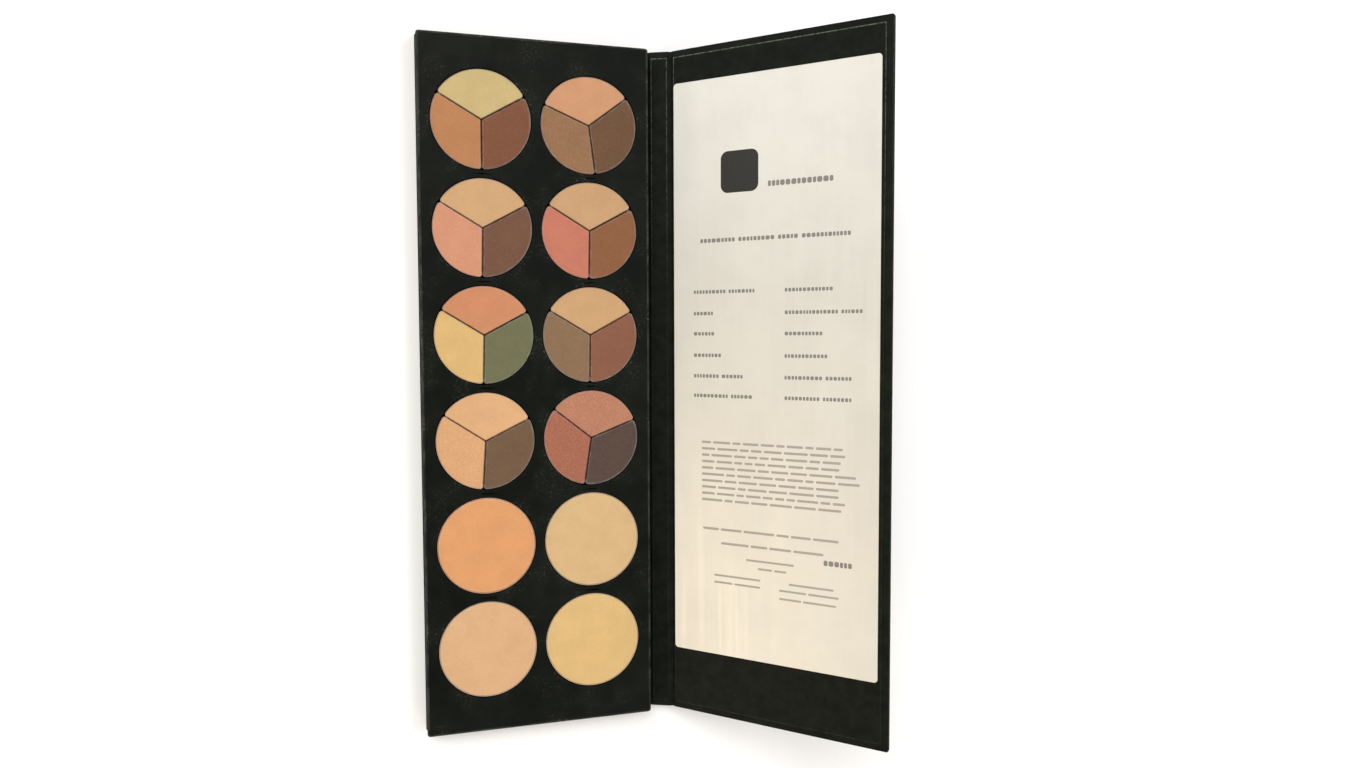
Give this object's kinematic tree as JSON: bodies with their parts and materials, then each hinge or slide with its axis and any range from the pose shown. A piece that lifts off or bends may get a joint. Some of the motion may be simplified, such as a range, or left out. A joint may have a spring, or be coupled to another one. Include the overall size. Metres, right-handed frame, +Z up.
{
  "type": "powder palette",
  "caption": "Book-style powder palette with a hinged front cover, sector and round pans in a black tray, and a pale card inside the cover.",
  "frame": {"origin": "on the back cover's flat underside, below the centre of the grid of wells and within 1 mm of the cover's own middle", "axes": "+Z up, out of the tray's face; +X from the tray towards the spine and the front cover; +Y along the spine, towards the first row of wells"},
  "size_m": [0.1635, 0.2659, 0.0702],
  "materials": {
    "greyboard": "matte",
    "covering_paper": "satin",
    "lining_paper": "satin",
    "label_card": "satin",
    "adhesive": "matte",
    "tray_board": "matte",
    "tray_plastic": "satin",
    "pan_metal": "satin",
    "powder_a1_top": "matte",
    "powder_a1_left": "matte",
    "powder_a1_right": "matte",
    "powder_a2_top": "matte",
    "powder_a2_left": "matte",
    "powder_a2_right": "matte",
    "powder_a3_top": "matte",
    "powder_a3_left": "matte",
    "powder_a3_right": "matte",
    "powder_a4_top": "matte",
    "powder_a4_left": "matte",
    "powder_a4_right": "matte",
    "powder_a5": "matte",
    "powder_a6": "matte",
    "powder_b1_top": "matte",
    "powder_b1_left": "matte",
    "powder_b1_right": "matte",
    "powder_b2_top": "matte",
    "powder_b2_left": "matte",
    "powder_b2_right": "matte",
    "powder_b3_top": "matte",
    "powder_b3_left": "matte",
    "powder_b3_right": "matte",
    "powder_b4_top": "matte",
    "powder_b4_left": "matte",
    "powder_b4_right": "matte",
    "powder_b5": "matte",
    "powder_b6": "matte"
  },
  "bodies": {
    "back_and_tray": {"back_board": "greyboard", "back_wrap": "covering_paper", "back_joint_wrap": "covering_paper", "back_joint_lining": "lining_paper", "back_lining": "lining_paper", "tray_adhesive": "adhesive", "tray_floor": "tray_board", "tray_frame": "tray_plastic", "pan_glue_dots": "adhesive", "trio_pans_a1": "pan_metal", "trio_pans_a2": "pan_metal", "trio_pans_a3": "pan_metal", "trio_pans_a4": "pan_metal", "trio_pans_b1": "pan_metal", "trio_pans_b2": "pan_metal", "trio_pans_b3": "pan_metal", "trio_pans_b4": "pan_metal", "round_pan_a5": "pan_metal", "round_pan_a6": "pan_metal", "round_pan_b5": "pan_metal", "round_pan_b6": "pan_metal", "powder_a1_top": "powder_a1_top", "powder_a1_left": "powder_a1_left", "powder_a1_right": "powder_a1_right", "powder_a2_top": "powder_a2_top", "powder_a2_left": "powder_a2_left", "powder_a2_right": "powder_a2_right", "powder_a3_top": "powder_a3_top", "powder_a3_left": "powder_a3_left", "powder_a3_right": "powder_a3_right", "powder_a4_top": "powder_a4_top", "powder_a4_left": "powder_a4_left", "powder_a4_right": "powder_a4_right", "powder_b1_top": "powder_b1_top", "powder_b1_left": "powder_b1_left", "powder_b1_right": "powder_b1_right", "powder_b2_top": "powder_b2_top", "powder_b2_left": "powder_b2_left", "powder_b2_right": "powder_b2_right", "powder_b3_top": "powder_b3_top", "powder_b3_left": "powder_b3_left", "powder_b3_right": "powder_b3_right", "powder_b4_top": "powder_b4_top", "powder_b4_left": "powder_b4_left", "powder_b4_right": "powder_b4_right", "powder_a5": "powder_a5", "powder_a6": "powder_a6", "powder_b5": "powder_b5", "powder_b6": "powder_b6"},
    "spine": {"spine_board": "greyboard", "spine_wrap": "covering_paper", "spine_lining": "lining_paper", "cover_joint_wrap": "covering_paper", "cover_joint_lining": "lining_paper"},
    "front_cover": {"cover_board": "greyboard", "cover_wrap": "covering_paper", "cover_lining": "lining_paper", "label_card": "label_card"}
  },
  "joints": [
    {"name": "spine_fold", "type": "hinge", "parent": "back_and_tray", "child": "spine", "pos_m": [0.04575, 0, 0.001], "axis": [0, -1, 0], "range_deg": [-24, 66], "deforming": ["back_joint_wrap", "back_joint_lining"]},
    {"name": "cover_fold", "type": "hinge", "parent": "spine", "child": "front_cover", "pos_m": [0.05461, 0, 0.00494], "axis": [0, -1, 0], "range_deg": [-21.2, 68.8], "deforming": ["cover_joint_wrap", "cover_joint_lining"]}
  ]
}
